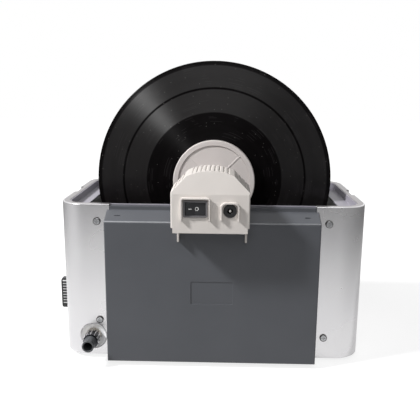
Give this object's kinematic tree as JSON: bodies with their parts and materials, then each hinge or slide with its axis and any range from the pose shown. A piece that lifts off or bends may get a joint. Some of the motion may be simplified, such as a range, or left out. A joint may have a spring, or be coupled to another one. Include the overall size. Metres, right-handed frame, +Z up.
{
  "type": "record cleaning machine",
  "caption": "Ultrasonic record cleaner: rounded aluminium body with a bath, a grey rear cover with a drain outlet, and a clip-on drive unit turning a record on edge.",
  "frame": {"origin": "on the floor, under the middle of the whole machine's outline", "axes": "+X to the right and -Y towards the viewer of the side with the grey cover and the drive unit, +Z up"},
  "size_m": [0.3816, 0.2542, 0.3638],
  "materials": {
    "shell_aluminium": "satin bead-blasted and clear anodised",
    "rim_silver": "satin silver paint",
    "deck_plastic": "fine-grained grey moulding",
    "seal_rubber": "matt black",
    "stainless": "drawn and brushed stainless steel",
    "silicone": "orange-red silicone mat",
    "horn_aluminium": "turned",
    "ceramic": "silvered ceramic",
    "zinc_steel": "zinc-plated steel",
    "foot_rubber": "matt black",
    "screw_steel": "nickel-plated steel",
    "cover_plastic": "fine-grained dark grey moulding",
    "board": "green lacquered circuit board",
    "heat_sink_aluminium": "black anodised",
    "ferrite": "grey-black ferrite",
    "copper_winding": "lacquered copper wire",
    "panel_plastic": "black",
    "display_window": "dark tinted window",
    "display_block": "dark red display",
    "key_plastic": "light grey",
    "inlet_plastic": "black",
    "valve_metal": "nickel-plated brass",
    "knob_plastic": "black",
    "washer_metal": "turned and polished",
    "nozzle_plastic": "dark grey",
    "hose_silicone": "translucent silicone",
    "drive_plastic": "off-white fine-grained moulding",
    "motor_steel": "zinc-plated can",
    "bronze": "sintered bronze",
    "switch_plastic": "black",
    "rocker_plastic": "black",
    "shaft_steel": "ground steel",
    "label_cover_plastic": "pale grey fine-grained moulding",
    "vinyl": "black pressed vinyl"
  },
  "bodies": {
    "root": {"outer_shell": "shell_aluminium", "top_rim": "rim_silver", "deck_liner": "deck_plastic", "tank_gasket": "seal_rubber", "tank": "stainless", "heater_pad": "silicone", "transducer_horns": "horn_aluminium", "piezo_rings": "ceramic", "transducer_tails": "zinc_steel", "base_plate": "zinc_steel", "feet": "foot_rubber", "foot_screws": "screw_steel", "rear_cover": "cover_plastic", "cover_screws": "screw_steel", "rear_brackets": "zinc_steel", "shell_screws": "screw_steel", "generator_board": "board", "board_screws": "screw_steel", "heat_sink": "heat_sink_aluminium", "transformer_core": "ferrite", "transformer_coil": "copper_winding", "control_panel": "panel_plastic", "display_windows": "display_window", "control_board": "board", "display_digits": "display_block", "panel_screws": "screw_steel", "mains_inlet": "inlet_plastic", "cock_body": "valve_metal", "port_nut": "valve_metal", "packing_nut": "valve_metal", "drain_dish": "washer_metal", "drain_nozzle": "nozzle_plastic", "nozzle_collar": "valve_metal", "drain_hose": "hose_silicone", "hose_clips": "screw_steel"},
    "drive_unit": {"drive_housing": "drive_plastic", "drive_base": "drive_plastic", "drive_back": "drive_plastic", "drive_screws": "screw_steel", "gearmotor": "motor_steel", "motor_screws": "screw_steel", "spindle_bush": "bronze", "switch_body": "switch_plastic", "dc_jack": "switch_plastic", "jack_nut": "screw_steel"},
    "power_rocker": {"rocker": "rocker_plastic"},
    "spindle": {"spindle_shaft": "shaft_steel", "spindle_hub": "label_cover_plastic", "inner_label_cover": "label_cover_plastic", "outer_label_cover": "label_cover_plastic", "label_seals": "seal_rubber", "record": "vinyl"},
    "clamp": {"clamp_nut": "knob_plastic"},
    "drain_valve": {"cock_plug": "valve_metal", "drain_knob": "knob_plastic"},
    "power_button": {"power_key": "key_plastic"},
    "time_down_button": {"time_down_key": "key_plastic"},
    "time_up_button": {"time_up_key": "key_plastic"},
    "heat_down_button": {"heat_down_key": "key_plastic"},
    "heat_up_button": {"heat_up_key": "key_plastic"}
  },
  "joints": [
    {"name": "drive_unit_lift", "type": "slide", "parent": "root", "child": "drive_unit", "axis": [0, 0, 1], "range_m": [0, 0.16]},
    {"name": "spindle_spin", "type": "hinge", "parent": "drive_unit", "child": "spindle", "pos_m": [0.00525, 0.0044, 0.213], "axis": [0, 1, 0], "continuous": true},
    {"name": "clamp_nut_off", "type": "slide", "parent": "spindle", "child": "clamp", "axis": [0, 1, 0], "range_m": [0, 0.03]},
    {"name": "power_rocker_tip", "type": "hinge", "parent": "drive_unit", "child": "power_rocker", "pos_m": [-0.01275, -0.1222, 0.202], "axis": [0, 0, 1], "range_deg": [-16, 0]},
    {"name": "drain_valve_turn", "type": "hinge", "parent": "root", "child": "drain_valve", "pos_m": [-0.16075, -0.025, 0.068], "axis": [1, 0, 0], "range_deg": [0, 90]},
    {"name": "power_key_press", "type": "slide", "parent": "root", "child": "power_button", "axis": [0, -1, 0], "range_m": [0, 0.0008], "stiffness_N_per_m": 400},
    {"name": "time_down_key_press", "type": "slide", "parent": "root", "child": "time_down_button", "axis": [0, -1, 0], "range_m": [0, 0.0008], "stiffness_N_per_m": 400},
    {"name": "time_up_key_press", "type": "slide", "parent": "root", "child": "time_up_button", "axis": [0, -1, 0], "range_m": [0, 0.0008], "stiffness_N_per_m": 400},
    {"name": "heat_down_key_press", "type": "slide", "parent": "root", "child": "heat_down_button", "axis": [0, -1, 0], "range_m": [0, 0.0008], "stiffness_N_per_m": 400},
    {"name": "heat_up_key_press", "type": "slide", "parent": "root", "child": "heat_up_button", "axis": [0, -1, 0], "range_m": [0, 0.0008], "stiffness_N_per_m": 400}
  ]
}
